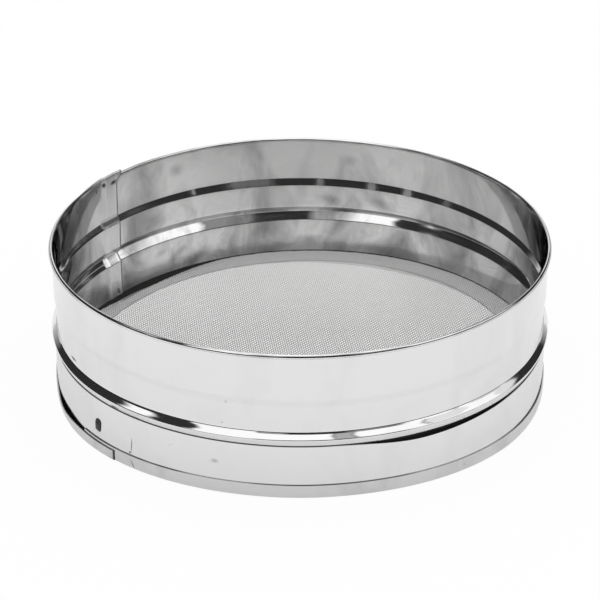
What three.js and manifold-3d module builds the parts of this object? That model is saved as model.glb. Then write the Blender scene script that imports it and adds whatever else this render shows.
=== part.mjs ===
// Round flour sieve: two nested stainless hoops that trap a disc of woven wire cloth, a support ring
// under the cloth, and a folded channel that binds the bottom edges together.
// Millimetres, +Z up, origin at the centre of the face that the sieve stands on.
import * as THREE from "three";
import { mergeVertices } from "three/addons/utils/BufferGeometryUtils.js";
import Module from "manifold-3d";

const wasm = await Module();
wasm.setup();

// Sheet, cloth and fits
const sheet = 0.6; // stainless sheet that every hoop and ring is bent from
const clearance = 0.25; // between two pieces that bear on each other
const sides = 72; // facets round every hoop

// Upper hoop
const rimHeight = 91.7; // from the table to the top of the rolled rim
const topRadius = 150; // outside of the wall below the rim
const rimOut = 1.8; // how far the rolled rim stands out of that wall
const rimDrop = 2.4; // height of the rolled rim
const stepTop = 62.5; // the wall steps in below this height
const stepDrop = 4; // height of that step
const stepIn = 1.2; // depth of that step
const beadTop = 41.4; // height of the rolled bead's upper corner
const beadCrest = 38; // height of its crest
const beadBottom = 32.7; // height of its lower corner
const beadOut = 3.25; // how far its crest stands out of the wall
const crestRound = 0.3; // share of each flank that rounds over into the crest
const crestSteps = 5; // facets over the crest
const seamAngle = 142.5; // where the inner end of the hoop's strip stops, counted from +X
const seamLap = 10.5; // how far the strip's two ends overlap

// Lower hoop
const lowerTuck = 0.4; // how far its top edge reaches up under the bead, past the bead's lower corner

// Wire cloth: a coarse net stands for the fine weave, with the same metal in each square metre
const clothThickness = 0.7; // two crossing wires
const netPitch = 20; // from one bar of the net to the next
const netBar = 1.6; // width of a bar
const netTurn = 7; // the weave is turned this far from the X axis
const collarHeight = 2.6; // edge of the cloth, turned up between the two hoops
const collarThickness = 0.5; // that edge, pressed flat

// Support ring
const supportHeight = 8.3; // from the table to the flange that carries the cloth
const flangeWidth = 11; // flange, from the ring's outside inwards

// Edge channel
const channelGap = 0.25; // between its outer leg and the lower hoop
const outerLeg = 8.1; // height of the leg that shows
const innerLeg = 5; // height of the leg inside
const channelSeam = 225.6; // where the upper end of the channel's strip stops, counted from +X
const channelLap = 29; // how far the strip's two ends overlap

// Clinch: one oblong pip pressed out through both hoops, which locks them together
const pipAngle = 220; // its place round the hoops, counted from +X
const pipAboveCollar = 1.05; // from the cloth's turned-up edge to the pip
const pipHeight = 8.8;
const pipWidth = 4.6;
const pipOut = 1.8; // how far it stands out of the lower hoop
const pipEnd = 8; // facets round each end of the pip

// Places that follow from those sizes
const waistRadius = topRadius - stepIn;
const collarInner = waistRadius + clearance;
const collarOuter = collarInner + collarThickness;
const lowerInner = collarOuter + clearance;
const lowerOuter = lowerInner + sheet;
const edgeBottom = sheet + clearance; // bottom edges stand in the channel, clear of its web
const clothBottom = supportHeight + clearance;
const clothTop = clothBottom + clothThickness;
const skirtBottom = clothTop + clearance;
const collarTop = clothBottom + collarHeight;
const pipMiddle = collarTop + pipAboveCollar + pipHeight / 2;
const supportOuter = lowerInner - clearance;
const supportInner = supportOuter - sheet;

const degrees = Math.PI / 180;
const tall = 2 * rimHeight; // cutting tools reach past the whole sieve

// A closed geometry as a solid that can be joined and cut.
function solid(geometry) {
  const bare = geometry.clone();
  bare.deleteAttribute("normal");
  bare.deleteAttribute("uv");
  const merged = mergeVertices(bare, 1e-4);
  const vertProperties = new Float32Array(merged.attributes.position.array);
  const triVerts = new Uint32Array(merged.index.array);
  return new wasm.Manifold(new wasm.Mesh({ numProp: 3, vertProperties, triVerts }));
}

// A named piece made of a finished solid.
function piece(name, body, material) {
  const { vertProperties, triVerts } = body.getMesh();
  const geometry = new THREE.BufferGeometry();
  geometry.setAttribute("position", new THREE.BufferAttribute(new Float32Array(vertProperties), 3));
  geometry.setIndex(new THREE.BufferAttribute(new Uint32Array(triVerts), 1));
  geometry.computeVertexNormals();
  const mesh = new THREE.Mesh(geometry, material);
  mesh.name = name;
  return mesh;
}

// A closed profile of [radius, height] points, counter-clockwise, turned round the Z axis.
function turned(profile) {
  const points = [...profile, profile[0]].map(([r, z]) => new THREE.Vector2(r, z));
  return solid(new THREE.LatheGeometry(points, sides).rotateX(Math.PI / 2));
}

// A plain hoop of square section.
function hoop(inner, outer, bottom, top) {
  return turned([
    [inner, bottom],
    [outer, bottom],
    [outer, top],
    [inner, top],
  ]);
}

// A sheet of the given thickness bent along a path of [radius, height] points, with the path on the
// sheet's outer face. The path runs upwards.
function bentSheet(path, thickness) {
  const inner = path.map(([r, z], i) => {
    const before = path[Math.max(i - 1, 0)];
    const after = path[Math.min(i + 1, path.length - 1)];
    const a = new THREE.Vector2(r - before[0], z - before[1]).normalize();
    const b = new THREE.Vector2(after[0] - r, after[1] - z).normalize();
    const along = a.clone().add(b).normalize();
    const mitre = 1 / Math.max(along.dot(a.lengthSq() ? a : b), 0.5);
    return [r - along.y * thickness * mitre, z + along.x * thickness * mitre];
  });
  return [...path, ...inner.reverse()];
}

// A wedge of space round the Z axis, from one angle to another, to cut an arc out of a hoop.
function wedge(from, to) {
  const reach = 2 * topRadius;
  const shape = new THREE.Shape();
  shape.moveTo(0, 0);
  shape.lineTo(reach * Math.cos(from * degrees), reach * Math.sin(from * degrees));
  shape.lineTo(reach * Math.cos(to * degrees), reach * Math.sin(to * degrees));
  return solid(new THREE.ExtrudeGeometry(shape, { depth: tall, bevelEnabled: false }));
}

// The angle in degrees that an arc of this length takes up on a hoop of this radius.
function arcAngle(length, radius) {
  return length / radius / degrees;
}

// An oblong bar pointing out of the hoops at the clinch, from one radius to another.
function oblong(width, height, from, to) {
  const r = width / 2;
  const straight = height / 2 - r;
  const shape = new THREE.Shape();
  shape.absarc(0, straight, r, 0, Math.PI);
  shape.absarc(0, -straight, r, Math.PI, 2 * Math.PI);
  const geometry = new THREE.ExtrudeGeometry(shape, {
    depth: to - from,
    bevelEnabled: false,
    curveSegments: pipEnd,
  });
  geometry.translate(0, 0, from);
  geometry.rotateX(Math.PI / 2);
  geometry.rotateZ((pipAngle + 90) * degrees);
  geometry.translate(0, 0, pipMiddle);
  return solid(geometry);
}

// Presses an oblong pip of sheet out of a hoop whose wall lies between two radii.
function pressPip(body, inner, outer, width, height, top) {
  const boss = oblong(width, height, (inner + outer) / 2, top);
  const hollow = oblong(width - 2 * sheet, height - 2 * sheet, inner - sheet, top - sheet);
  return body.add(boss).subtract(hollow);
}

// Outer face of the upper hoop from the edge that rests on the cloth up to the end of the rolled rim.
function upperHoopPath() {
  const tip = new THREE.Vector2(waistRadius + beadOut / (1 - crestRound / 2), beadCrest);
  const low = new THREE.Vector2(waistRadius, beadBottom);
  const high = new THREE.Vector2(waistRadius, beadTop);
  const from = tip.clone().lerp(low, crestRound);
  const to = tip.clone().lerp(high, crestRound);
  const crest = new THREE.QuadraticBezierCurve(from, tip, to).getPoints(crestSteps);
  return [
    [waistRadius, skirtBottom],
    low.toArray(),
    ...crest.map((point) => point.toArray()),
    high.toArray(),
    [waistRadius, stepTop - stepDrop],
    [topRadius, stepTop],
  ];
}

function upperHoop(material) {
  const wall = upperHoopPath();
  const curl = rimOut - sheet; // room inside the rolled rim
  const rim = [
    [topRadius, rimHeight - sheet],
    [topRadius + curl, rimHeight - sheet],
    [topRadius + curl, rimHeight - rimDrop],
    [topRadius + rimOut, rimHeight - rimDrop],
    [topRadius + rimOut, rimHeight - sheet / 2],
    [topRadius + rimOut - sheet / 2, rimHeight],
    [topRadius - sheet / 2, rimHeight],
    [topRadius - sheet, rimHeight - sheet / 2],
  ];
  const inside = bentSheet(wall, sheet).slice(wall.length);
  let body = turned([...wall, ...rim, ...inside]);
  // The strip's inner end laps over its outer end, and the two are welded flat.
  const lapFace = [...inside].reverse().map(([r, z]) => [r + sheet / 2, z]);
  lapFace.push([topRadius - sheet / 2, rimHeight - sheet]);
  const lap = turned(bentSheet(lapFace, 1.5 * sheet));
  body = body.add(lap.intersect(wedge(seamAngle, seamAngle + arcAngle(seamLap, topRadius))));
  const pipTop = lowerOuter + pipOut - sheet - clearance;
  const inset = 2 * (sheet + clearance);
  body = pressPip(body, waistRadius - sheet, waistRadius, pipWidth - inset, pipHeight - inset, pipTop);
  return piece("upper_hoop", body, material);
}

function lowerHoop(material) {
  let body = hoop(lowerInner, lowerOuter, edgeBottom, beadBottom + lowerTuck);
  body = pressPip(body, lowerInner, lowerOuter, pipWidth, pipHeight, lowerOuter + pipOut);
  return piece("lower_hoop", body, material);
}

function supportRing(material) {
  const flangeEdge = supportOuter - flangeWidth;
  const body = turned([
    [supportInner, edgeBottom],
    [supportOuter, edgeBottom],
    [supportOuter, supportHeight],
    [flangeEdge, supportHeight],
    [flangeEdge, supportHeight - sheet],
    [supportInner, supportHeight - sheet],
  ]);
  return piece("support_ring", body, material);
}

function edgeChannel(material) {
  const outside = lowerOuter + channelGap;
  const inside = supportInner - clearance;
  const body = turned([
    [inside - sheet, 0],
    [outside + sheet, 0],
    [outside + sheet, outerLeg],
    [outside, outerLeg],
    [outside, sheet],
    [inside, sheet],
    [inside, innerLeg],
    [inside - sheet, innerLeg],
  ]);
  // The strip's upper end laps over its lower end on the outside.
  const lap = hoop(outside + sheet / 2, outside + 2 * sheet, 0, outerLeg - sheet);
  const arc = wedge(channelSeam - arcAngle(channelLap, outside), channelSeam);
  return piece("edge_channel", body.add(lap.intersect(arc)), material);
}

// The part of a square that lies inside a circle round the origin, with a straight cut for the arc.
function cutSquare(x, y, half, radius) {
  const corners = [
    new THREE.Vector2(x - half, y - half),
    new THREE.Vector2(x + half, y - half),
    new THREE.Vector2(x + half, y + half),
    new THREE.Vector2(x - half, y + half),
  ];
  const points = [];
  corners.forEach((corner, i) => {
    const next = corners[(i + 1) % corners.length];
    const inside = corner.length() < radius;
    if (inside) points.push(corner);
    if (inside === next.length() < radius) return;
    const side = next.clone().sub(corner);
    const along = corner.dot(side) / side.lengthSq();
    const root = Math.sqrt(along * along - (corner.lengthSq() - radius * radius) / side.lengthSq());
    points.push(corner.clone().addScaledVector(side, inside ? root - along : -root - along));
  });
  return points;
}

// The gaps of the net, each a bar that is cut out of the cloth. Slivers at the edge stay closed.
function netGaps(radius) {
  const half = (netPitch - netBar) / 2;
  const count = Math.ceil(radius / netPitch);
  const gaps = [];
  for (let i = -count; i <= count; i += 1) {
    for (let j = -count; j <= count; j += 1) {
      const points = cutSquare(i * netPitch, j * netPitch, half, radius);
      if (points.length < 3 || THREE.ShapeUtils.area(points) < half * half) continue;
      const bar = new THREE.ExtrudeGeometry(new THREE.Shape(points), { depth: tall, bevelEnabled: false });
      gaps.push(solid(bar.translate(0, 0, -rimHeight).rotateZ(netTurn * degrees)));
    }
  }
  return wasm.Manifold.union(gaps);
}

// The cloth as a flat net with a turned-up edge.
function wireCloth(material) {
  const middle = collarInner - netBar / 2;
  const plate = new THREE.CylinderGeometry(middle, middle, clothThickness, sides).rotateX(Math.PI / 2);
  const flat = solid(plate.translate(0, 0, (clothBottom + clothTop) / 2));
  const edge = turned([
    [collarInner - netBar, clothBottom],
    [collarOuter, clothBottom],
    [collarOuter, collarTop],
    [collarInner, collarTop],
    [collarInner, clothTop],
    [collarInner - netBar, clothTop],
  ]);
  const body = flat.add(edge).asOriginal().subtract(netGaps(collarInner - 1.5 * netBar));
  return piece("wire_cloth", body.asOriginal(), material);
}

const polished = new THREE.MeshStandardMaterial({ color: 0xd6d7d8, metalness: 1, roughness: 0.12 });
const satin = new THREE.MeshStandardMaterial({ color: 0xc9cacb, metalness: 1, roughness: 0.3 });
const wire = new THREE.MeshStandardMaterial({ color: 0xbfc1c2, metalness: 1, roughness: 0.35 });

const sieve = new THREE.Group();
sieve.add(upperHoop(polished), lowerHoop(polished), edgeChannel(polished));
sieve.add(supportRing(satin), wireCloth(wire));

export default sieve;
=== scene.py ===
"""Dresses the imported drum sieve: polished stainless hoops around a disc of woven wire cloth.

Every piece stands in the CAD frame, in metres, with its sizes written in millimetres. Angles round the
sieve are counted from the side that faces the camera (-Y), towards +X.
"""
import logging
import math
from dataclasses import dataclass
from enum import Enum
from typing import Callable, NamedTuple, Sequence

import bpy
import numpy as np
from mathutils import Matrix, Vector


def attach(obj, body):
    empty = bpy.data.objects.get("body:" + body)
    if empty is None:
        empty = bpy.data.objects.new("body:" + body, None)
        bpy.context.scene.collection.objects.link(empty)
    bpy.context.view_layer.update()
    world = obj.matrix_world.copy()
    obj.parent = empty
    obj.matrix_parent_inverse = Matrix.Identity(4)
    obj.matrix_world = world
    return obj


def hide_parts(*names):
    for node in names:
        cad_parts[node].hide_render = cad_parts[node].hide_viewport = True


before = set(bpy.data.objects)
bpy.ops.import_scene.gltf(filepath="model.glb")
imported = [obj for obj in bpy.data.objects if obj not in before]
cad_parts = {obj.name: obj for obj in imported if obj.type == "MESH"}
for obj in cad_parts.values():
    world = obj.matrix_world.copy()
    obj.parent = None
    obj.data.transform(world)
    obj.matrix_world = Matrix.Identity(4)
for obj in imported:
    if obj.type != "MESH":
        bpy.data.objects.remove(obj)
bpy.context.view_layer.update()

MM = 0.001
TINY = 1e-6
LOG = logging.getLogger("sieve")

# How this one sieve is bent: out of round in millimetres, out of level as a slope, sunk in millimetres
BULGE_OUT = 3.0
LEAN_SLOPE = 0.028
TROUGH_DEPTH = 5.0
# How fine the sections are cut, as shares of their step, and the degrees at which an edge stays sharp
ARC_STEP = 0.4
RUN_STEP = 6
SHARP_EDGE = 40.0

Array = np.ndarray
Piece = bpy.types.Object
Material = bpy.types.Material
Tree = bpy.types.NodeTree
Socket = bpy.types.NodeSocket
Value = float | Socket
Point = tuple[float, float]
Triple = tuple[float, float, float]
Colour = tuple[float, float, float, float]
Tone = Colour | Value


class Slot(Enum):
    """Names of material slots: polished sheet, satin sheet and cloth wire."""

    POLISHED = "polished_sheet"
    SATIN = "satin_sheet"
    WIRE = "cloth_wire"


class Spots(NamedTuple):
    """Points round the sieve: angles, distances from the axis and heights, in degrees and millimetres."""

    angle: Array
    radius: Array
    height: Array


class Run(Enum):
    """The two directions that wires run in through the cloth, with the names of each one's halves."""

    WARP = ("warp_left", "warp_right")
    WEFT = ("weft_front", "weft_back")


def linear(hex_colour: str) -> Colour:
    """Turns an sRGB hex colour to linear.

    Args:
        hex_colour: Six hex digits.

    Returns:
        Red, green, blue and alpha.
    """
    parts = [int(hex_colour[i : i + 2], 16) / 255 for i in (0, 2, 4)]
    r, g, b = (c / 12.92 if c <= 0.04045 else ((c + 0.055) / 1.055) ** 2.4 for c in parts)
    return r, g, b, 1.0


def add_node(tree: Tree, kind: str, inputs: dict | None = None, **settings) -> bpy.types.Node:
    """Adds a node with its settings and links.

    Args:
        tree: The node tree that gets the node.
        kind: The node's type name, without the "ShaderNode" that all begin with.
        inputs: Sockets by name or number, each with a value or another node's output.
        **settings: The node's own properties.

    Returns:
        The new node.
    """
    node = tree.nodes.new("ShaderNode" + kind)
    for name, value in settings.items():
        setattr(node, name, value)
    for key, value in (inputs or {}).items():
        if isinstance(value, Socket):
            tree.links.new(value, node.inputs[key])
        else:
            node.inputs[key].default_value = value
    return node


def ramp(
    value: Socket, start: float = 0, end: float = 1, low: Value = 0, high: float = 1, **settings
) -> Socket:
    """Maps a value from the range start to end to the range low to high, and holds it there."""
    inputs = {"Value": value, "From Min": start, "From Max": end, "To Min": low, "To Max": high}
    return add_node(value.id_data, "MapRange", inputs, **settings).outputs[0]


def combine(operation: str, first: Socket, second: Value) -> Socket:
    """Puts two values together by an operation."""
    return add_node(first.id_data, "Math", {0: first, 1: second}, operation=operation).outputs[0]


def stretched(place: Socket, scale: Triple, turn: Triple = (0, 0, 0)) -> Socket:
    """Coordinates that are turned and scaled."""
    inputs = {"Vector": place, "Rotation": turn, "Scale": scale}
    return add_node(place.id_data, "Mapping", inputs).outputs[0]


def length(vector: Socket) -> Socket:
    """The length of a vector."""
    return add_node(vector.id_data, "VectorMath", {0: vector}, operation="LENGTH").outputs["Value"]


def blend(share: Socket, first: Tone, second: Tone, colour: bool = True) -> Socket:
    """Mixes a share of the second colour, or of the second value, into the first."""
    kind, a, b, result = ("RGBA", 6, 7, 2) if colour else ("FLOAT", 2, 3, 0)
    return add_node(share.id_data, "Mix", {0: share, a: first, b: second}, data_type=kind).outputs[result]


def noise(place: Socket, size_mm: float, detail: float, rough: float = 0.5, drawn: float = 0.0) -> Socket:
    """Cloudy noise: the size of its clouds, how many finer layers, how strong they are, how drawn out."""
    # One unit of the pattern is as long as its largest clouds
    inputs = {"Vector": place, "Scale": 1 / (size_mm * MM), "Detail": detail, "Roughness": rough}
    return add_node(place.id_data, "TexNoise", {**inputs, "Distortion": drawn}).outputs["Fac"]


def new_material(name: str) -> tuple[Material, Tree, Socket]:
    """Makes an empty node material.

    Args:
        name: The material's name.

    Returns:
        The material, its node tree and the object coordinates in it.
    """
    material = bpy.data.materials.new(name)
    material.use_nodes = True
    tree = material.node_tree
    tree.nodes.clear()
    return material, tree, add_node(tree, "TexCoord").outputs["Object"]


def end_surface(tree: Tree, inputs: dict[str, Tone]) -> None:
    """Ends a material in its surface, with the surface's sockets by name."""
    shader = add_node(tree, "BsdfPrincipled", inputs)
    add_node(tree, "OutputMaterial", {"Surface": shader.outputs[0]})


def smooth(low: float, high: float | Array, value: Array) -> Array:
    """A soft step from 0 at low to 1 at high."""
    t = np.clip((value - low) / (high - low), 0.0, 1.0)
    return t * t * (3 - 2 * t)


def hump(middle: float, before: float, after: float, value: Array) -> Array:
    """A soft hump on the circle: 1 at its middle, and 0 from some degrees before it and after it."""
    away = (value - middle + 180) % 360 - 180
    return np.where(away < 0, 1 - smooth(0, before, -away), 1 - smooth(0, after, away))


def bulge(angle: Array, height: Array) -> Array:
    """How far the lower part stands out of round at both sides of the front, in millimetres."""
    sides = hump(-52, 34, 44, angle) + hump(52, 44, 34, angle)
    return BULGE_OUT * sides * (1 - smooth(5, 62, height))


def flat_bulge(angle: Array, radius: Array, height: Array) -> Array:
    """How far the cloth and its seat follow the bulge, in millimetres: less towards the middle."""
    return bulge(angle, height) * smooth(120, 148, radius)


def lean(angle: Array, radius: Array, height: Array) -> Array:
    """How far the skirt and the cloth stand out of level: low on the left, high on the right.

    Args:
        angle: Angles round the sieve.
        radius: Distances from the axis.
        height: Heights above the floor.

    Returns:
        The rise of each point, in millimetres.
    """
    across, behind = radius * np.sin(np.radians(angle)), -radius * np.cos(np.radians(angle))
    front, back = 1 - smooth(12, 30, height), 1 - smooth(15, 66, height)
    return LEAN_SLOPE * across * (front + (back - front) * smooth(-10, 50, behind))


def trough(angle: Array, radius: Array) -> Array:
    """How far the cloth's margin has sunk beside the wall, in millimetres, where it has come loose."""
    return TROUGH_DEPTH * hump(-133, 30, 24, angle) * smooth(140.5, 143.5, radius)


def ring_angles(start: float, end: float, step: float, fine: float = 0, fine_step: float = 0.2) -> Array:
    """Angles along a strip, closer together near both of its ends.

    Args:
        start: Angle of the strip's first end.
        end: Angle of its last end.
        step: Longest step.
        fine: Angle at each end that has the short steps.
        fine_step: The short step.

    Returns:
        The angles, in order.
    """
    parts = [np.linspace(start + fine, end - fine, math.ceil((end - start - 2 * fine) / step) + 1)]
    if fine > 0:
        count = math.ceil(fine / fine_step)
        parts.insert(0, np.linspace(start, start + fine, count, endpoint=False))
        parts.append(np.linspace(end, end - fine, count, endpoint=False)[::-1])
    return np.concatenate(parts)


@dataclass(frozen=True)
class Mark:
    """A dark mark on one face of the sheet: its place, half sizes in millimetres, lean, strength and
    softness.
    """

    angle: float
    height: float
    radius: float
    wide: float
    tall: float
    lean: float
    strength: float
    soft: float


@dataclass(frozen=True)
class PolishedSheet:
    """Cold-rolled 304 stainless sheet, bright polished: a mirror with wipe marks, roll lines and waves."""

    name: str = "polished_stainless"
    steel: str = "E8E8E8"
    inside_glancing_shade: str = "B4B4B4"
    wear_and_painted_light: str = "8A8A8A"
    marks_and_shade: str = "2E2E2D"
    roughness: float = 0.055
    smudge_roughness: float = 0.2
    scuff_roughness: float = 0.5
    mark_depth: float = 0.9
    wave_mm: float = 60.0
    wave_depth_mm: float = 0.4
    wave_stretch: Triple = (0.5, 0.5, 1.6)
    roll_line_mm: float = 0.9
    roll_depth_mm: float = 0.01
    roll_line_stretch: Triple = (0.012, 0.012, 1.0)
    smudge_mm: float = 34.0
    smudge_turn: Triple = (0.5, 0.4, 0.3)
    smudge_stretch: Triple = (1.0, 1.0, 0.55)
    patch_mm: float = 16.0
    marks: tuple[Mark, ...] = (
        Mark(-39.3, 14.8, 150.4, 0.45, 6.4, 3.0, 0.85, 0.35),
        Mark(-39.8, 9.8, 150.4, 0.9, 1.1, 0.0, 0.95, 0.3),
        Mark(-38.9, 3.2, 151.2, 0.45, 3.8, -28.0, 0.8, 0.4),
        Mark(-18.6, 19.8, 150.4, 3.4, 2.0, 0.0, 0.4, 0.02),
        Mark(-16.0, 58.7, 149.2, 1.6, 1.8, 0.0, 0.25, 0.02),
        Mark(-17.0, 44.6, 148.9, 1.5, 1.1, 0.0, 0.22, 0.02),
        Mark(-29.0, 24.1, 150.4, 2.6, 0.35, -35.0, 0.2, 0.3),
        Mark(38.0, 4.0, 151.2, 1.1, 1.3, 0.0, 0.25, 0.1),
        Mark(-126.3, 87.4, 148.7, 4.4, 2.0, 8.0, 0.9, 0.2),
        Mark(-122.6, 88.6, 148.9, 3.2, 2.4, -20.0, 0.95, 0.2),
        Mark(-119.8, 87.0, 149.3, 1.2, 2.8, 0.0, 0.8, 0.1),
        Mark(-126.2, 58.2, 147.8, 2.6, 2.2, 0.0, 0.6, 0.0),
        Mark(-126.0, 13.5, 147.6, 1.8, 4.0, 25.0, 0.7, 0.1),
        Mark(-152.5, 16.5, 148.2, 15.0, 6.0, 25.0, 0.55, 0.0),
        Mark(-147.0, 22.0, 148.2, 14.0, 4.5, 30.0, 0.5, 0.0),
        Mark(-141.5, 26.0, 148.2, 8.0, 4.0, 20.0, 0.42, 0.0),
        Mark(-147.0, 79.5, 149.4, 9.0, 7.0, 0.0, 0.34, 0.0),
        Mark(168.0, 77.5, 149.4, 9.0, 6.0, 0.0, 0.36, 0.0),
        Mark(173.0, 49.0, 148.2, 13.0, 6.5, -20.0, 0.5, 0.0),
        Mark(159.0, 48.5, 148.2, 16.0, 7.0, -25.0, 0.5, 0.0),
        Mark(177.0, 17.5, 148.2, 18.0, 5.5, 0.0, 0.5, 0.0),
        Mark(161.0, 15.0, 148.2, 16.0, 5.0, 0.0, 0.4, 0.0),
        Mark(-63.0, 44.0, 149.0, 6.0, 1.2, 0.0, 0.95, 0.2),
        Mark(-64.3, 55.9, 149.2, 3.6, 0.4, 0.0, 0.3, 0.2),
    )

    def mark_mask(self, place: Socket) -> Socket:
        """Where the single marks lie.

        Args:
            place: Object coordinates.

        Returns:
            Their strength at each point.
        """
        # Marks with no soft edge are patchy, the others are not
        patchy = ramp(noise(place, self.patch_mm, detail=1.5), 0.3, 0.65, low=0.3)
        total = None
        for mark in self.marks:
            turn = math.radians(mark.angle)
            out = mark.radius + float(bulge(mark.angle, mark.height))
            up = mark.height + float(lean(mark.angle, out, mark.height)) * (abs(mark.angle) > 95)
            # A wide mark reaches deeper, since the wall bends away from its middle
            deep = self.mark_depth + mark.wide**2 / 240
            inputs = {
                "Vector": place,
                "Location": (out * math.sin(turn) * MM, -out * math.cos(turn) * MM, up * MM),
                "Rotation": (0.0, math.radians(mark.lean), turn),
                "Scale": (mark.wide * MM, deep * MM, mark.tall * MM),
            }
            away = length(add_node(place.id_data, "Mapping", inputs, vector_type="TEXTURE").outputs[0])
            mask = ramp(away, mark.soft, 1.0, mark.strength, 0.0, interpolation_type="SMOOTHSTEP")
            if mark.soft == 0.0:
                mask = combine("MULTIPLY", mask, patchy)
            total = mask if total is None else combine("MAXIMUM", total, mask)
        return total

    def build(self) -> Material:
        """Makes the finish.

        Returns:
            The material.
        """
        material, tree, place = new_material(self.name)
        # The inside of the drum is wiped more than the outside and painted darker as painted shade, the seam
        # and the step carry tool scuffs, and painted shade darkens edges, crevices and the pip
        names = ("wear_and_shade", "scuff", "painted_shade")
        layers = (add_node(tree, "Attribute", attribute_name=name) for name in names)
        wear_and_shade, scuff, painted_shade = (layer.outputs["Fac"] for layer in layers)
        # Wipe marks lie aslant, longer than they are wide
        aslant = stretched(place, self.smudge_stretch, self.smudge_turn)
        smudge = noise(aslant, self.smudge_mm, detail=4.0, rough=0.55, drawn=0.6)
        # Smudges spread with the painted amount, which also darkens the lower inside as painted shade
        wipes_and_shade = combine("MULTIPLY", ramp(smudge, 0.47, 0.72), ramp(wear_and_shade, low=0.1))
        # Painted shade takes the same near-black colour as the marks
        dark = combine("MAXIMUM", self.mark_mask(place), painted_shade)
        # Lines that the rolling mill left round the strip: long round the hoop, fine up its wall
        along = stretched(place, self.roll_line_stretch)
        lines = noise(along, self.roll_line_mm, detail=3.0, rough=0.6)
        # The sheet isn't quite flat: long shallow waves round the hoop
        wave = noise(stretched(place, self.wave_stretch), self.wave_mm, detail=1.5)
        bend = {"Height": wave, "Strength": 0.5, "Distance": self.wave_depth_mm * MM}
        grain = {"Height": lines, "Strength": 0.25, "Distance": self.roll_depth_mm * MM}
        grain["Normal"] = add_node(tree, "Bump", bend).outputs[0]
        wiped_rough = ramp(wipes_and_shade, low=self.roughness, high=self.smudge_roughness)
        dulled = combine("MAXIMUM", scuff, dark)
        clean = blend(wipes_and_shade, linear(self.steel), linear(self.wear_and_painted_light))
        # The inside faces take a darker glancing tint than the outside: painted shade of the drum's inside
        inside = ramp(wear_and_shade, 0.25, 0.5)
        end_surface(
            tree,
            {
                "Base Color": blend(dark, clean, linear(self.marks_and_shade)),
                # The painted shade isn't metal
                "Metallic": ramp(painted_shade, low=1.0, high=0.0),
                "Roughness": blend(dulled, wiped_rough, self.scuff_roughness, colour=False),
                "Specular Tint": blend(inside, linear("FFFFFF"), linear(self.inside_glancing_shade)),
                "Normal": add_node(tree, "Bump", grain).outputs[0],
            },
        )
        return material


@dataclass(frozen=True)
class DullCoat:
    """A dull coat that differs in clouds: the solder on tinned sheet, or a near-black coat of painted shade
    on the cloth's turned-up edge.
    """

    name: str = "solder_tinned_stainless"
    first: str = "C2C2C2"
    second: str = "A2A2A2"
    cloud_mm: float = 14.0
    detail: float = 5.0
    roughness: tuple[float, float] = (0.42, 0.56)

    def build(self) -> Material:
        """Makes the finish.

        Returns:
            The material.
        """
        material, tree, place = new_material(self.name)
        cloud = noise(place, self.cloud_mm, self.detail)
        tint = blend(cloud, linear(self.first), linear(self.second))
        rough = ramp(cloud, 0, 1, *self.roughness)
        end_surface(tree, {"Base Color": tint, "Roughness": rough})
        return material


@dataclass(frozen=True)
class DrawnWire:
    """Drawn stainless wire: bright, with a fine dull skin, and tinned where it is soldered to its seat."""

    name: str = "drawn_stainless_wire"
    bright: str = "BCBCBB"
    dull: str = "9E9E9D"
    back_light: str = "D8D8D7"
    tinned: str = "FCFCFC"
    back_light_mm: tuple[float, float] = (30.0, 130.0)
    tinned_mm: tuple[float, float] = (133.8, 134.4)
    cloud_mm: float = 9.0

    def build(self) -> Material:
        """Makes the finish.

        Returns:
            The material.
        """
        material, tree, place = new_material(self.name)
        cloud = noise(place, self.cloud_mm, detail=3.0)
        skin = blend(cloud, linear(self.bright), linear(self.dull))
        # The wires are painted lighter towards the back: painted light
        axis = add_node(tree, "SeparateXYZ", {"Vector": place})
        far = ramp(axis.outputs["Y"], *(at * MM for at in self.back_light_mm))
        wear_and_painted_light = blend(far, skin, linear(self.back_light))
        # Solder covers the wires that lie on the seat
        flat = add_node(tree, "VectorMath", {0: place, 1: (1.0, 1.0, 0.0)}, operation="MULTIPLY")
        solder = ramp(length(flat.outputs[0]), *(at * MM for at in self.tinned_mm))
        end_surface(
            tree,
            {
                "Base Color": blend(solder, wear_and_painted_light, linear(self.tinned)),
                "Metallic": ramp(solder, low=1.0, high=0.0),
                "Roughness": ramp(solder, low=0.28, high=0.45),
            },
        )
        return material


def rounded(corners: Sequence[Triple], step: float) -> list[Point]:
    """A path through corners, each rounded by its own radius.

    Args:
        corners: Radius from the axis, height and corner radius of each corner, in millimetres.
        step: Its fineness, times ARC_STEP along arcs and times RUN_STEP along straight runs.

    Returns:
        The path's points.
    """
    points: list[Array] = []
    for i, (r, z, radius) in enumerate(corners):
        here = np.array((r, z))
        if i in (0, len(corners) - 1) or radius <= 0:
            points.append(here)
            continue
        back = np.array(corners[i - 1][:2]) - here
        ahead = np.array(corners[i + 1][:2]) - here
        back, ahead = back / np.linalg.norm(back), ahead / np.linalg.norm(ahead)
        half = math.acos(float(np.clip(back @ ahead, -1, 1))) / 2
        reach = radius / math.tan(half)
        centre = here + (back + ahead) / np.linalg.norm(back + ahead) * radius / math.sin(half)
        first, last = here + back * reach - centre, here + ahead * reach - centre
        turn = math.pi - 2 * half
        count = max(3, math.ceil(radius * turn / (step * ARC_STEP)))
        for k in range(count + 1):
            share = k / count
            arm = (first * math.sin((1 - share) * turn) + last * math.sin(share * turn)) / math.sin(turn)
            points.append(centre + arm)
    path = [points[0]]
    for end in points[1:]:
        start = path[-1]
        count = max(1, math.ceil(np.linalg.norm(end - start) / (step * RUN_STEP)))
        path.extend(start + (end - start) * k / count for k in range(1, count + 1))
    return [(float(p[0]), float(p[1])) for p in path]


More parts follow.
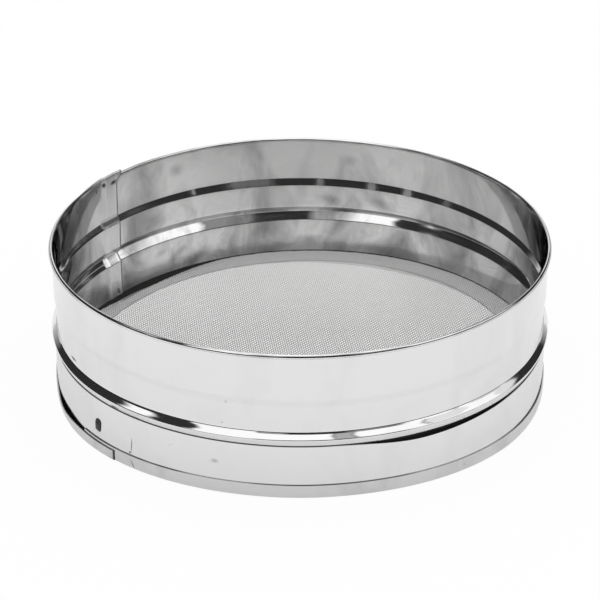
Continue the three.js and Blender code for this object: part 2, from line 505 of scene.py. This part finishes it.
def sheet_loop(path: Sequence[Point], thickness: float) -> list[Point]:
    """The closed section of a sheet whose outer face follows a path.

    Args:
        path: The outer face, from the bottom up, in millimetres.
        thickness: The sheet's thickness, laid on the left of the path.

    Returns:
        The section's points, in order round it.
    """
    outer = np.array(path)
    along = np.gradient(outer, axis=0)
    along /= np.linalg.norm(along, axis=1)[:, None]
    inner = outer + np.stack((-along[:, 1], along[:, 0]), 1) * thickness
    return [tuple(p) for p in np.concatenate((outer, inner[::-1]))]


def select(*pieces: Piece) -> None:
    """Selects these pieces and nothing else, the last of them active.

    Args:
        *pieces: The pieces, or none to leave nothing selected.
    """
    bpy.ops.object.select_all(action="DESELECT")
    for piece in pieces:
        piece.select_set(True)
        bpy.context.view_layer.objects.active = piece


def points_of(piece: Piece) -> Array:
    """The points of a piece.

    Args:
        piece: The piece.

    Returns:
        A row for each point, in metres.
    """
    co = np.zeros(len(piece.data.vertices) * 3)
    piece.data.vertices.foreach_get("co", co)
    return co.reshape(-1, 3)


def move_points(piece: Piece, co: Array) -> None:
    """Moves the points of a piece to new places, in metres."""
    piece.data.vertices.foreach_set("co", co.ravel())
    piece.data.update()


def finish_piece(piece: Piece, material: Material, node: str) -> None:
    """Gives a piece its material, lets it ride on the sieve and hides the CAD node that it stands for.

    Args:
        piece: The finished piece.
        material: Its material.
        node: The CAD node that it replaces.
    """
    piece.data.materials.clear()
    piece.data.materials.append(material)
    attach(piece, "root")
    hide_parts(node)
    LOG.info("%s: %d faces", piece.name, len(piece.data.polygons))


def turned_strip(name: str, loop: Sequence[Point], angles: Array, place: Callable[[Spots], Spots]) -> Piece:
    """Bends a strip with this section round the sieve's axis.

    Args:
        name: The piece's name.
        loop: The closed section, in millimetres.
        angles: Where the section stands. A full turn closes the strip, more laps it over itself.
        place: Moves the strip's points.

    Returns:
        The new piece.
    """
    select()
    count = len(loop)
    closed = abs(angles[-1] - angles[0] - 360) < TINY
    bpy.ops.mesh.primitive_circle_add(vertices=count, radius=MM, fill_type="NOTHING")
    piece = bpy.context.active_object
    piece.name = piece.data.name = name
    section = np.array(loop)
    move_points(piece, np.column_stack((section[:, 0], np.zeros(count), section[:, 1])) * MM)
    screw = piece.modifiers.new("Screw", "SCREW")
    screw.axis, screw.angle = "Z", math.radians(360 if closed else 350)
    screw.steps = screw.render_steps = len(angles) - 1
    screw.use_merge_vertices = False
    bpy.ops.object.modifier_apply(modifier=screw.name)
    rows = len(piece.data.vertices) // count
    angle, radius, height = place(
        Spots(np.repeat(angles[:rows], count), np.tile(section[:, 0], rows), np.tile(section[:, 1], rows))
    )
    turn = np.radians(angle)
    move_points(piece, np.column_stack((radius * np.sin(turn), -radius * np.cos(turn), height)) * MM)
    bpy.ops.object.mode_set(mode="EDIT")
    if not closed:
        bpy.ops.mesh.select_mode(type="EDGE")
        bpy.ops.mesh.select_all(action="DESELECT")
        bpy.ops.mesh.select_non_manifold()
        bpy.ops.mesh.fill()
    bpy.ops.mesh.select_all(action="SELECT")
    bpy.ops.mesh.normals_make_consistent(inside=False)
    bpy.ops.object.mode_set(mode="OBJECT")
    bpy.ops.object.shade_smooth_by_angle(angle=math.radians(SHARP_EDGE))
    return piece


def paint(piece: Piece, name: str, values: Array) -> None:
    """Stores a number at each point of a piece, for its material."""
    layer = piece.data.attributes.new(name, "FLOAT", "POINT")
    layer.data.foreach_set("value", values.astype(np.float32))


@dataclass
class UpperHoop:
    """The drum's wall: one strip with a rolled rim, a step, a pressed bead and a skirt down to the cloth."""

    sheet: float = 0.6
    rim_height: float = 91.7
    top_radius: float = 150.0
    rim_top_round: float = 1.0
    rim_face_round: float = 3.0
    rim_under_round: float = 0.9
    rim_turns: tuple[float, float] = (33.0, 12.0)
    step_middle: float = 60.5
    step_drop: float = 4.0
    waist_radius: float = 148.8
    bead_top: float = 41.4
    bead_crest: float = 38.0
    bead_bottom: float = 32.7
    bead_tip: float = 3.6
    skirt_bottom: float = 9.9
    seam_end: float = -127.5
    seam_lap: float = 4.0
    # The lap: how far its inner end lies in, curls, rises and swings, and how far its outer end sinks
    lap_gap: float = 0.12
    lap_curl: float = 0.35
    lap_rise: float = 1.9
    lap_swing: float = 1.7
    lap_sink: float = 0.5
    press: float = 2.2
    # Where tools have scuffed the step, seen inside: angle, reach and strength
    step_scuffs: tuple[Triple, ...] = (
        (208.5, 1.2, 0.8),
        (196.0, 6.0, 0.75),
        (190.0, 5.0, 0.8),
        (174.8, 1.8, 0.7),
        (161.2, 2.2, 0.8),
        (151.3, 2.2, 1.0),
        (139.5, 2.4, 0.7),
    )

    def rim(self, inset: float) -> list[Point]:
        """The rim's roll: tight over the top, flatter on its outer face, tight again under it.

        Args:
            inset: How far inside the roll's visible face the points lie.

        Returns:
            The points, from the inner wall over the top.
        """
        out = self.top_radius + self.rim_top_round - self.sheet
        middle = np.array((out, self.rim_height - self.rim_top_round))
        rounds = (self.rim_top_round, self.rim_face_round, self.rim_under_round)
        turns = (180.0, *self.rim_turns, -120.0)
        points = []
        for i, size in enumerate(rounds):
            if i > 0:
                bend = math.radians(turns[i])
                middle = middle + np.array((math.cos(bend), math.sin(bend))) * (rounds[i - 1] - size)
            for turn in np.radians(np.linspace(turns[i], turns[i + 1], 10)[int(i > 0) :]):
                spot = middle + np.array((math.cos(turn), math.sin(turn))) * (size - inset)
                points.append((float(spot[0]), float(spot[1])))
        return points

    def faces(self) -> tuple[list[Point], list[Point]]:
        """The section's two faces.

        Returns:
            The outer and the inner face, each from the skirt's edge to the end of the rolled rim.
        """
        low, high = self.step_middle - self.step_drop / 2, self.step_middle + self.step_drop / 2
        waist, wall = self.waist_radius, self.top_radius
        outer = [
            (waist, self.skirt_bottom, 0),
            (waist, self.bead_bottom - 3.5, 0),
            (waist, self.bead_bottom - 0.2, 0.3),
            (waist + 1.35, self.bead_bottom + 0.75, 0.25),
            (waist + self.bead_tip, self.bead_crest, 1.1),
            (waist, self.bead_top, 2.2),
            (waist + 0.55, low - 0.5, 5.0),
            (wall, high, 5.0),
            (wall, self.rim_height - 3.0, 0),
        ]
        waist, wall = waist - self.sheet, wall - self.sheet
        inner = [
            (waist, self.skirt_bottom, 0),
            (waist, self.bead_bottom - 3.5, 0),
            (waist, self.bead_bottom - 0.1, 2.0),
            (waist + self.bead_tip - 0.17, self.bead_crest - 0.1, 0.5),
            (waist, self.bead_top + 1.1, 1.6),
            (waist, low, 0.7),
            (wall, high, 0.7),
            (wall, self.rim_height - 3.0, 0),
        ]
        return rounded(outer, 0.5) + self.rim(self.sheet), rounded(inner, 0.5) + self.rim(0.0)

    def step_slant(self, angle: Array) -> Array:
        """How tall the step is at each angle, against its drop in the section.

        Args:
            angle: Angles round the hoop.

        Returns:
            The step's height there, as a share.
        """
        behind = np.abs((angle % 360) - 180)
        share = np.where(behind < 90, np.clip(np.cos(np.radians(behind)), 0.17, 1) ** 0.68, 1.0)
        share = 1 + (share - 1) * (1 - smooth(84, 96, behind))
        return 0.925 * share * (1 + 2 * self.deeper(angle) / (self.top_radius - self.waist_radius))

    @staticmethod
    def deeper(angle: Array) -> Array:
        """How much the step's upper wall stands out, and its lower wall in, towards the sides of the back."""
        behind = np.abs((angle % 360) - 180)
        return (0.18 + 0.34 * smooth(35, 75, behind)) * (1 - smooth(80, 98, behind))

    def place(self, at: Spots) -> Spots:
        """Laps the strip's ends, and bends it as the hand-finished hoop is bent.

        Args:
            at: The strip's points.

        Returns:
            The moved points.
        """
        angle, radius, height = at
        past = angle - self.seam_end
        off = height - self.step_middle
        deeper = self.deeper(angle)
        fade = np.where(off > 0, 1 - smooth(4, 26, off), smooth(-16, -3, off))
        r = radius + deeper * np.clip(off / 2, -1, 1) * fade
        z = np.where(np.abs(off) < 2.6, self.step_middle + off * self.step_slant(angle), height)
        # The first end of the strip lies inside the last one, and its edge curls in
        inside = 1 - smooth(self.seam_lap, self.seam_lap + 1.6, past)
        r = r - (self.sheet + self.lap_gap) * inside - self.lap_curl * (1 - smooth(0, 1.0, past))
        z = z + self.lap_rise * (1 - smooth(2, 16, past)) * smooth(80, 90, height)
        z = z - self.lap_sink * smooth(350, 363, past) * smooth(78, 90, height)
        a = angle - self.lap_swing * smooth(85, 90, height) * (1 - smooth(0, 2, past))
        # Behind the slipped edge of the lower hoop the skirt is pressed in
        pressed = self.press * hump(30, 24, 46, angle) * smooth(33.2, 29.0, height) * smooth(12, 24, height)
        return Spots(a, r - pressed + bulge(angle, height), z + lean(*at))

    def paint_wear_and_shade(self, piece: Piece, outside: int, count: int, angles: Array) -> None:
        """Marks where the hoop is wiped and scuffed, and where shade is painted on it.

        Args:
            piece: The hoop.
            outside: Points of its section's outer face.
            count: Points of its whole section.
            angles: Angles along its strip.
        """
        height = points_of(piece)[:, 2] / MM
        index = np.arange(len(height))
        angle = angles[np.minimum(index // count, len(angles) - 1)]
        past = angle - self.seam_end
        inner = ((index % count) >= outside).astype(float)
        # The inside is wiped, and is painted darker lower down as painted shade, most of all on the skirt
        # above the cloth. The lap is ground clean
        wear_and_painted_light = 0.55 + 0.3 * smooth(61, 57, height) + 0.15 * smooth(33, 20, height)
        paint(piece, "wear_and_shade", inner * wear_and_painted_light * smooth(4.0, 5.0, past))
        off = (height - self.step_middle) / self.step_slant(angle)
        on_step = 1 - smooth(1.8, 2.2, np.abs(off))
        scuff = sum(level * hump(spot, reach, reach, angle) for spot, reach, level in self.step_scuffs)
        ground = 0.4 * (1 - smooth(3.6, 4.6, past))
        rubbed = 0.45 * smooth(27, 15, height)
        paint(piece, "scuff", inner * np.clip(np.maximum(np.maximum(scuff * on_step, ground), rubbed), 0, 1))
        # Painted shade darkens the edge of the lap, the step beside it, and the crevice behind the lower hoop
        crevice = (1 - inner) * smooth(33.2, 32.7, height)
        seam = np.maximum(0.8 * (1 - smooth(0.2, 0.5, past)), 0.9 * on_step * (1 - smooth(5.5, 7.0, past)))
        paint(piece, "painted_shade", np.maximum(inner * seam, crevice))

    def build(self, material: Material) -> None:
        """Makes the hoop.

        Args:
            material: Its finish.
        """
        outer, inner = self.faces()
        loop = outer + inner[::-1]
        angles = ring_angles(self.seam_end, self.seam_end + 360 + self.seam_lap, 0.9, 12.0)
        piece = turned_strip("drum_wall", loop, angles, self.place)
        self.paint_wear_and_shade(piece, len(outer), len(loop), angles)
        finish_piece(piece, material, "upper_hoop")


@dataclass
class LowerHoop:
    """The plain hoop below the bead, clinched to the skirt inside it by one oblong pip."""

    sheet: float = 0.6
    outer: float = 150.4
    bottom: float = 0.85
    top: float = 33.1
    edge: float = 0.3
    dip: float = 3.4
    dip_angle: float = 28.0
    dip_before: float = 20.0
    dip_after: float = 41.0
    pip_angle: float = -50.0
    pip_middle: float = 16.6
    pip_width: float = 4.8
    pip_height: float = 8.8
    pip_out: float = 1.3
    pip_crest: float = -0.5
    pip_root: float = 0.3

    def slipped(self, angle: Array) -> Array:
        """How far the top edge has slipped away from the bead at each angle, as a share."""
        return hump(self.dip_angle, self.dip_before, self.dip_after, angle)

    def place(self, at: Spots) -> Spots:
        """Lowers the top edge where it has slipped, and bends the hoop out of round."""
        slip = self.dip * self.slipped(at.angle) * smooth(18, self.top, at.height)
        return Spots(at.angle, at.radius + bulge(at.angle, at.height), at.height - slip)

    def pip(self) -> Piece:
        """The oblong pip pressed out of the wall.

        Returns:
            The pip, as a shell that stands on the wall.
        """
        select()
        bpy.ops.mesh.primitive_uv_sphere_add(segments=40, ring_count=32, radius=1.0)
        pip = bpy.context.active_object
        co = points_of(pip)
        # The crest lies low, so that a long face looks up and a short one looks down
        z = co[:, 2]
        above = z > self.pip_crest
        share = np.where(above, (1 - z) / (1 - self.pip_crest), (1 + z) / (1 + self.pip_crest))
        wide = np.sqrt(np.clip(1 - z * z, 0, 1))
        off_pole, safe = wide > TINY, np.maximum(wide, TINY)
        fuller = np.where(off_pole, np.sqrt(np.clip(1 - z**6, 0, 1)) / safe, 1)
        deep = np.where(off_pole, co[:, 1] / safe, 0) * smooth(0, np.where(above, 0.45, 1), share)
        across = co[:, 0] * fuller * self.pip_width / 2
        move_points(pip, np.column_stack((across, deep * self.pip_out, z * self.pip_height / 2)) * MM)
        # The pip is painted near black as painted shade, but for an unpainted spot near its lower end that
        # mirrors bright
        spot = np.hypot(across, (z + 0.66) * self.pip_height / 2)
        paint(pip, "painted_shade", smooth(0.5, 0.95, spot))
        bpy.ops.object.mode_set(mode="EDIT")
        bpy.ops.mesh.select_all(action="SELECT")
        bpy.ops.mesh.bisect(plane_co=(0, self.pip_root * MM, 0), plane_no=(0, 1, 0), clear_outer=True)
        bpy.ops.object.mode_set(mode="OBJECT")
        stands = self.outer + float(bulge(self.pip_angle, self.pip_middle))
        pip.location = (0, -stands * MM, self.pip_middle * MM)
        bpy.ops.object.transform_apply(location=True, rotation=False, scale=False)
        pip.rotation_euler = (0, 0, math.radians(self.pip_angle))
        bpy.ops.object.transform_apply(location=False, rotation=True, scale=False)
        bpy.ops.object.shade_smooth()
        return pip

    def build(self, material: Material) -> None:
        """Makes the hoop with its pip.

        Args:
            material: Its finish.
        """
        path = rounded([(self.outer, z, 0) for z in (self.bottom, self.top - self.edge, self.top)], 0.4)
        angles = ring_angles(-90, 270, 0.9)
        piece = turned_strip("lower_wall", sheet_loop(path, self.sheet), angles, self.place)
        # Painted shade darkens the top edge, as far as it still touches the bead
        index = np.arange(len(piece.data.vertices))
        row, angle = index % (2 * len(path)), angles[index // (2 * len(path))]
        edge = (row == len(path) - 1) | (row == len(path))
        paint(piece, "painted_shade", 0.85 * edge * (1 - smooth(0.05, 0.4, self.slipped(angle))))
        select(self.pip(), piece)
        bpy.ops.object.join()
        finish_piece(piece, material, "lower_hoop")


@dataclass
class EdgeChannel:
    """The folded strip that binds the bottom edges, lapped over itself at the front left."""

    sheet: float = 0.6
    outer: float = 151.25
    inner: float = 148.1
    outer_leg: float = 8.1
    inner_leg: float = 5.0
    first_end: float = -55.3
    lap: float = 10.9
    lap_gap: float = 0.05
    lap_sink: float = 1.7
    lift: float = 0.85
    pinch: float = 0.12
    web_top: float = 0.61
    edge: float = 0.15

    def place(self, at: Spots) -> Spots:
        """Laps the strip's last end over its first one, and lifts it off the hoop before the lap.

        Args:
            at: The strip's points.

        Returns:
            The moved points.
        """
        angle, radius, height = at
        past = angle - self.first_end
        last = smooth(335, 357, past)
        outside = smooth(149.6, 150.6, radius)
        lifted = self.lift * hump(294, 10.5, 10, angle) * outside * smooth(0.5, 8.0, height)
        lowered = self.lap_sink * smooth(322, 350, past) * outside * smooth(2.0, 8.0, height)
        pinched = self.pinch * (1 - last) * outside * smooth(4.0, 8.0, height)
        r = radius + (self.sheet + self.lap_gap) * last * outside + lifted - pinched + bulge(angle, height)
        # The inner leg stays under the ring's flange
        sunk = (trough(angle, radius) - np.minimum(lean(*at), 0)) * (1 - outside)
        z = np.maximum(height - lowered - sunk, self.web_top)
        return Spots(angle, r, np.where(height > self.web_top, z, height))

    def build(self, material: Material) -> None:
        """Makes the channel.

        Args:
            material: Its finish.
        """
        near, far = self.inner + self.sheet, self.outer - self.sheet
        corners = [(near, self.inner_leg, 0), (near, self.sheet, 0.3), (far, self.sheet, 0.3)]
        corners += [(far, self.outer_leg - self.edge, 0), (far, self.outer_leg, 0)]
        path = rounded(corners, 0.4)
        loop = sheet_loop(path, -self.sheet)
        angles = ring_angles(self.first_end, self.first_end + 360 + self.lap, 0.9, 12.0, 0.4)
        piece = turned_strip("edge_binding", loop, angles, self.place)
        # Painted shade darkens the inside of the channel, the outer leg's cut edge and the end of the lap
        index = np.arange(len(piece.data.vertices))
        row = index % len(loop)
        shaded_edge = ((row == len(path) - 1) | (row == len(path))) * 0.35
        end = (index // len(loop) == len(angles) - 1) * (row > len(path) // 2) * 0.9
        paint(piece, "painted_shade", np.maximum(np.maximum(shaded_edge, end), row < len(path) - 1))
        paint(piece, "wear_and_shade", np.full(len(row), 0.2))
        finish_piece(piece, material, "edge_channel")


@dataclass
class SupportRing:
    """The ring under the cloth: an upright leg and a flange whose tinned face takes the cloth's edge in."""

    sheet: float = 0.6
    outer: float = 149.55
    bottom: float = 0.85
    top: float = 8.7
    flange: float = 15.5
    sink_limit: float = 7.2

    def place(self, at: Spots) -> Spots:
        """Sinks the flange where the cloth's margin has come loose.

        Args:
            at: The strip's points.

        Returns:
            The moved points.
        """
        angle, radius, height = at
        moved = np.maximum(lean(*at) - trough(angle, radius), -self.sink_limit)
        z = height + moved * smooth(self.bottom, self.top - self.sheet, height)
        return Spots(angle, radius + flat_bulge(*at), z)

    def build(self, material: Material) -> None:
        """Makes the ring.

        Args:
            material: Its finish.
        """
        corners = [(self.outer, self.bottom, 0), (self.outer, self.top, 0.9)]
        loop = sheet_loop(rounded([*corners, (self.outer - self.flange, self.top, 0)], 0.2), self.sheet)
        piece = turned_strip("cloth_seat", loop, ring_angles(-90, 270, 1.5), self.place)
        finish_piece(piece, material, "support_ring")


@dataclass
class WireCloth:
    """Plain-weave wire cloth with its edge turned up between the two hoops."""

    pitch: float = 1.355
    wire: float = 0.36
    height: float = 8.9
    radius: float = 148.9
    turn: float = 7.0
    collar_inner: float = 149.05
    collar_outer: float = 149.55
    collar_bottom: float = 8.55
    collar_top: float = 13.4
    weld: float = 0.02

    def crimped_pair(self) -> Piece:
        """One bend of two neighbouring wires, the first over and the second under.

        Returns:
            A mesh of two short wires along X, a bend long and two pitches wide.
        """
        select()
        bpy.ops.mesh.primitive_cylinder_add(
            vertices=4,
            radius=self.wire / 2 * MM,
            depth=2 * self.pitch * MM,
            end_fill_type="NOTHING",
            rotation=(0, math.pi / 2, 0),
        )
        pair = bpy.context.active_object
        bpy.ops.object.transform_apply(location=True, rotation=True, scale=True)
        bpy.ops.object.mode_set(mode="EDIT")
        bpy.ops.mesh.select_all(action="SELECT")
        bpy.ops.mesh.bisect(plane_co=(0, 0, 0), plane_no=(1, 0, 0))
        bpy.ops.mesh.select_all(action="SELECT")
        bpy.ops.mesh.duplicate()
        bpy.ops.transform.translate(value=(0, self.pitch * MM, 0))
        bpy.ops.object.mode_set(mode="OBJECT")
        co = points_of(pair)
        # A wire rises over one crossing and dives under the next
        middle = np.abs(co[:, 0]) < self.pitch * MM / 2
        first = co[:, 1] < self.pitch * MM / 2
        co[:, 2] += np.where(middle == first, 1, -1) * self.wire / 2 * MM
        move_points(pair, co)
        return pair

    def spread(self, run: Run) -> Piece:
        """All the wires of one direction, cut to the round of the cloth.

        Args:
            run: The wires' direction.

        Returns:
            The wires as one mesh.
        """
        wires = self.crimped_pair()
        count = math.ceil(self.radius / self.pitch)
        for axis, name in enumerate(("Along", "Across")):
            array = wires.modifiers.new(name, "ARRAY")
            array.use_relative_offset = False
            array.use_constant_offset = True
            array.constant_offset_displace = [2 * self.pitch * MM if i == axis else 0.0 for i in range(3)]
            array.count = count
            array.use_merge_vertices = axis == 0
            array.merge_threshold = self.weld * MM
            bpy.ops.object.modifier_apply(modifier=array.name)
        shift = -(count - 1) * self.pitch * MM
        co = points_of(wires) + np.array((shift, shift - self.pitch / 2 * MM, 0))
        if run is Run.WEFT:
            # The weft lies under where the warp lies over
            co = np.column_stack((-co[:, 1], co[:, 0], -co[:, 2]))
        cos, sin = math.cos(math.radians(self.turn)), math.sin(math.radians(self.turn))
        spin = np.array(((cos, -sin, 0), (sin, cos, 0), (0, 0, 1)))
        co = co @ spin.T + np.array((0, 0, self.height * MM))
        reach, angle = np.hypot(co[:, 0], co[:, 1]) / MM, np.degrees(np.arctan2(co[:, 0], -co[:, 1]))
        level = np.full(len(reach), self.height)
        co[:, 2] += (lean(angle, reach, level) - trough(angle, reach)) * MM
        co[:, :2] *= (1 + flat_bulge(angle, reach, level) / np.maximum(reach, 1))[:, None]
        move_points(wires, co)
        self.drop(wires, reach > self.radius)
        return wires

    def edge_place(self, at: Spots) -> Spots:
        """Lets the turned-up edge follow the cloth and reach down where its margin has sunk.

        Args:
            at: The strip's points.

        Returns:
            The moved points.
        """
        angle, radius, height = at
        level = np.full(len(height), self.height)
        sunk = np.where(height < self.collar_bottom + 1, trough(angle, radius), 0)
        return Spots(angle, radius + bulge(angle, level), height + lean(angle, radius, level) - sunk)

    @staticmethod
    def drop(wires: Piece, marked: Array) -> None:
        """Deletes the marked vertices.

        Args:
            wires: The mesh to cut.
            marked: True for each vertex that goes.
        """
        mesh = wires.data
        for parts in (mesh.polygons, mesh.edges):
            parts.foreach_set("select", np.zeros(len(parts), bool))
        mesh.vertices.foreach_set("select", marked)
        bpy.ops.object.mode_set(mode="EDIT")
        bpy.ops.mesh.select_mode(type="VERT")
        bpy.ops.mesh.delete(type="VERT")
        bpy.ops.object.mode_set(mode="OBJECT")

    def build(self, material: Material, edge: Material) -> None:
        """Makes the cloth: the wires of each direction in two halves, and the turned-up edge.

        Args:
            material: The wires' finish.
            edge: The turned-up edge's finish, a near-black coat of painted shade for the gap beside the wall.
        """
        cos, sin = math.cos(math.radians(self.turn)), math.sin(math.radians(self.turn))
        for run in Run:
            wires = self.spread(run)
            select(wires)
            bpy.ops.object.duplicate()
            halves = (wires, bpy.context.active_object)
            for half, name, sign in zip(halves, run.value, (1, -1)):
                select(half)
                half.name = half.data.name = name
                x, y, _ = points_of(half).T
                across = y * cos - x * sin if run is Run.WARP else -(x * cos + y * sin)
                self.drop(half, across * sign > 0)
                bpy.ops.object.shade_smooth()
                finish_piece(half, material, "wire_cloth")
        near, far, low, high = self.collar_inner, self.collar_outer, self.collar_bottom, self.collar_top
        loop = [(near, low), (far, low), (far, high), (near, high)]
        collar = turned_strip("cloth_edge", loop, ring_angles(-90, 270, 1.5), self.edge_place)
        finish_piece(collar, edge, "wire_cloth")


@dataclass(frozen=True)
class Softbox:
    """A softbox round the set: the angles of its sides, how far each fades, its heights and brightness."""

    start: float
    end: float
    start_fade: float
    end_fade: float
    bottom: float
    top: float
    level: float


@dataclass
class Studio:
    """A white sweep under soft light, with the camera of the photograph."""

    elevation: float = 27.31
    distance: float = 1342.0
    aim: float = 47.75
    focal_px: float = 2182.3
    frame_px: float = 600.0
    sensor: float = 36.0
    paper: str = "F9F9F9"
    # How white the sweep glows: under the cloth, front and back, as painted light brightest at the back, and
    # outside, to the camera and to mirrors
    under_front: float = 0.86
    under_back: float = 1.0
    under_reach_mm: float = 100.0
    hoop_mm: tuple[float, float] = (147.0, 150.0)
    white_seen: float = 0.94
    white_mirrored: float = 0.3
    # How bright the room and its softboxes are in mirrors
    room: float = 0.03
    lamp: float = 1.2
    softboxes: tuple[Softbox, ...] = (
        Softbox(-53, -20, 3, 2, 20, 44, 1.0),
        Softbox(-21, -5, 1, 5, 20, 44, 0.3),
        Softbox(21, 49, 4, 2, 20, 44, 0.22),
        Softbox(47, 108, 4, 5, 17, 44, 1.0),
        Softbox(78, 110, 3, 5, 12, 44, 1.0),
        Softbox(-73, -64, 2, 3, 20, 30, 0.9),
        Softbox(-61, 22, 3, 3, 44, 95, 1.0),
        Softbox(20, 34, 3, 3, 44, 95, 0.4),
        Softbox(32, 72, 3, 3, 44, 95, 1.0),
        Softbox(70, 122, 3, 5, 27, 95, 0.75),
        Softbox(-97, -80, 4, 4, 34, 95, 1.0),
        Softbox(-200, 200, 1, 1, 66, 95, 1.0),
        Softbox(164, 200, 4, 1, -5, 95, 1.0),
        Softbox(-200, -164, 1, 4, -5, 95, 1.0),
        Softbox(136, 200, 14, 1, -5, 12, 0.75),
        Softbox(-200, -134, 1, 16, -5, 17, 0.75),
    )

    def camera(self) -> None:
        """Sets the camera on the side that faces -Y."""
        data = bpy.data.cameras.new("camera")
        data.sensor_fit = "HORIZONTAL"
        data.sensor_width = self.sensor
        data.lens = self.focal_px / self.frame_px * self.sensor
        data.clip_end = 100
        camera = bpy.data.objects.new("camera", data)
        bpy.context.scene.collection.objects.link(camera)
        up = math.radians(self.elevation)
        back = Vector((0, -math.cos(up), math.sin(up)))
        camera.location = Vector((0, 0, self.aim)) * MM + back * self.distance * MM
        camera.rotation_euler = (math.pi / 2 - up, 0, 0)
        bpy.context.scene.camera = camera

    def floor(self) -> None:
        """Lays the floor: white to the camera and to mirrors, with a faint shadow under the sieve and a
        painted glow under the cloth, brightest at the back.
        """
        select()
        bpy.ops.mesh.primitive_plane_add(size=80)
        floor = bpy.context.active_object
        floor.name = "floor"
        material, tree, place = new_material("white_sweep")
        path = add_node(tree, "LightPath").outputs
        # Under the cloth the sweep glows brightest towards the back: painted light, standing for light that
        # falls in over the rim
        axis = add_node(tree, "SeparateXYZ", {"Vector": place}).outputs
        half = self.under_reach_mm * MM
        under = ramp(axis["Y"], -half, half, self.under_front, self.under_back)
        near, far = (at * MM for at in self.hoop_mm)
        reach = length(place)
        seen, mirrored = (
            combine("MULTIPLY", path[ray], ramp(reach, near, far, under, white))
            for ray, white in (("Is Camera Ray", self.white_seen), ("Is Glossy Ray", self.white_mirrored))
        )
        share = combine("MAXIMUM", seen, mirrored)
        paper = add_node(tree, "BsdfDiffuse", {"Color": linear(self.paper)}).outputs[0]
        glow = add_node(tree, "Emission", {"Color": linear("FFFFFF"), "Strength": 1.0}).outputs[0]
        both = add_node(tree, "MixShader", {0: share, 1: paper, 2: glow})
        add_node(tree, "OutputMaterial", {"Surface": both.outputs[0]})
        floor.data.materials.append(material)

    def world(self) -> None:
        """Lights the set: white to the camera, even for the floor, softboxes in a dark room for mirrors."""
        world = bpy.data.worlds.new("studio")
        bpy.context.scene.world = world
        world.use_nodes = True
        tree = world.node_tree
        tree.nodes.clear()
        path = add_node(tree, "LightPath").outputs
        way = add_node(tree, "TexCoord").outputs["Generated"]
        axis = add_node(tree, "SeparateXYZ", {"Vector": way}).outputs
        angle = combine("ARCTAN2", axis["X"], combine("MULTIPLY", axis["Y"], -1.0))
        height = add_node(tree, "Math", {0: axis["Z"]}, operation="ARCSINE").outputs[0]
        boxes = None
        for box in self.softboxes:
            # Each edge: what it is measured by, where it is dark and where it is fully bright
            edges = (
                (angle, box.start, box.start + box.start_fade),
                (angle, box.end, box.end - box.end_fade),
                (height, box.bottom - 1, box.bottom + 1),
                (height, box.top + 2, box.top - 2),
            )
            lit = box.level
            for value, dark, bright in edges:
                low, high = (math.radians(limit) for limit in sorted((dark, bright)))
                side = ramp(value, low, high, float(dark > bright), float(dark < bright))
                lit = combine("MULTIPLY", side, lit)
            boxes = lit if boxes is None else combine("MAXIMUM", boxes, lit)
        mirror = ramp(boxes, low=self.room, high=self.lamp)
        plain = blend(path["Is Glossy Ray"], 1.0, mirror, colour=False)
        strength = blend(path["Is Camera Ray"], plain, 1.0, colour=False)
        background = add_node(tree, "Background", {"Color": linear("FFFFFF"), "Strength": strength})
        add_node(tree, "OutputWorld", {"Surface": background.outputs[0]})

    def build(self) -> None:
        """Makes the camera, the floor and the light."""
        self.camera()
        self.floor()
        self.world()
        bpy.context.scene.view_settings.view_transform = "Standard"


def main() -> None:
    """Builds the sieve and its studio."""
    logging.basicConfig(level=logging.INFO, format="%(name)s %(message)s")
    Studio().build()
    polished = PolishedSheet().build()
    UpperHoop().build(polished)
    LowerHoop().build(polished)
    # The binding's steel is a darker copy of the hoops' steel: painted shade of the contact shadow that it
    # mirrors
    EdgeChannel().build(PolishedSheet(name="folded_stainless_strip_in_shade", steel="D8D8D8").build())
    SupportRing().build(DullCoat().build())
    # The cloth's turned-up edge is painted near black: painted shade in the gap beside the wall
    shaded_edge = DullCoat("painted_shade_wire_edge", "1C1C1B", "3C3B39", 3.0, 4.0, (0.7, 0.7))
    WireCloth().build(DrawnWire().build(), shaded_edge.build())


if __name__ == "__main__":
    main()
